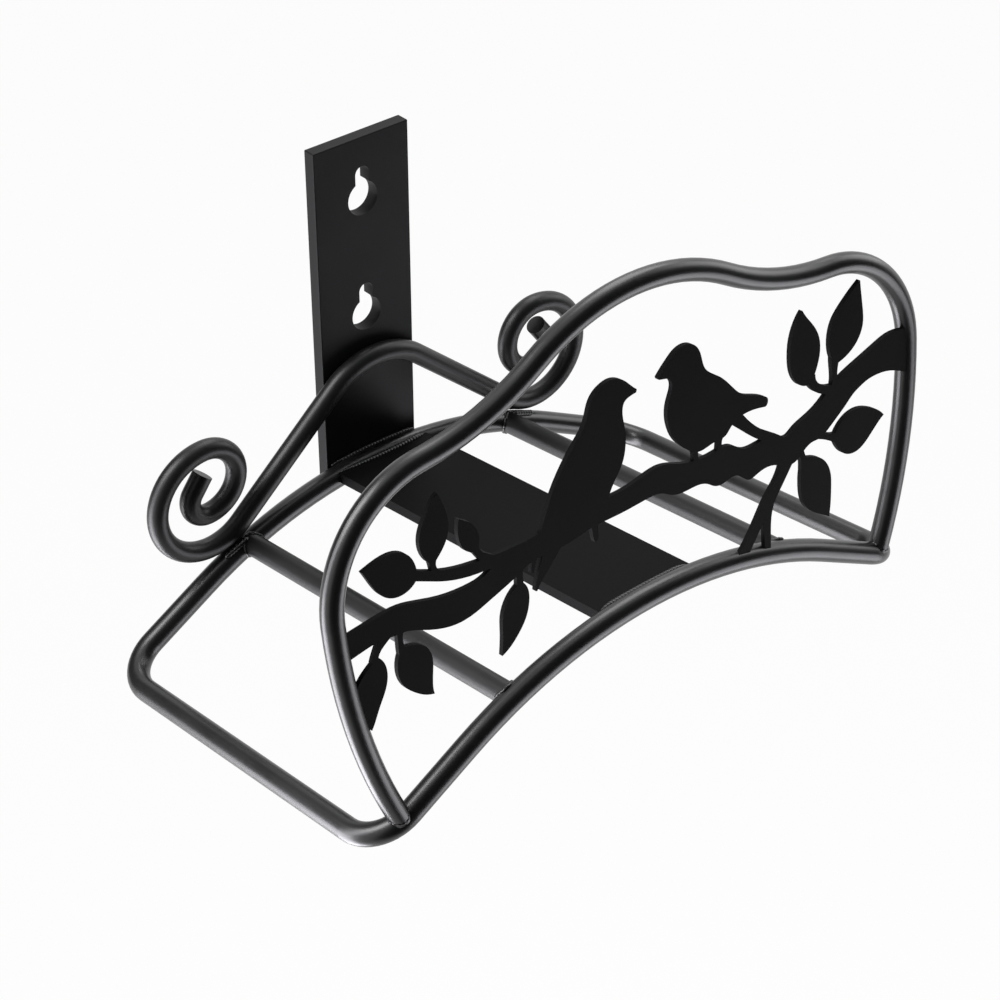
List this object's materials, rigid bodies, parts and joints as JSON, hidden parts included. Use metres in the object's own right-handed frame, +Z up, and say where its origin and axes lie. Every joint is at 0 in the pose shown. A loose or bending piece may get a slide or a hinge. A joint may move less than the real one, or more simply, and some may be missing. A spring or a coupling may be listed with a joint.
{
  "type": "hose hanger",
  "caption": "Wall-mounted garden hose hanger of welded black steel rod, with an arched saddle, rear scrolls and a cloud-shaped front frame around a cut panel of birds on a branch.",
  "frame": {"origin": "on the wall plate's back face, midway between the two keyholes' round entries", "axes": "+X to the right seen from the front, +Y into the wall, +Z up"},
  "size_m": [0.3018, 0.1889, 0.2033],
  "materials": {
    "powder_coat": "satin black powder coat on steel rod and flat bar",
    "panel_coat": "flat black powder coat on sheet steel"
  },
  "bodies": {
    "root": {"wall_plate": "powder_coat", "scroll_rod": "powder_coat", "saddle_loop": "powder_coat", "saddle_bar": "powder_coat", "cross_rod_left": "powder_coat", "cross_rod_right": "powder_coat", "front_frame": "powder_coat", "bird_panel": "panel_coat"}
  },
  "joints": []
}
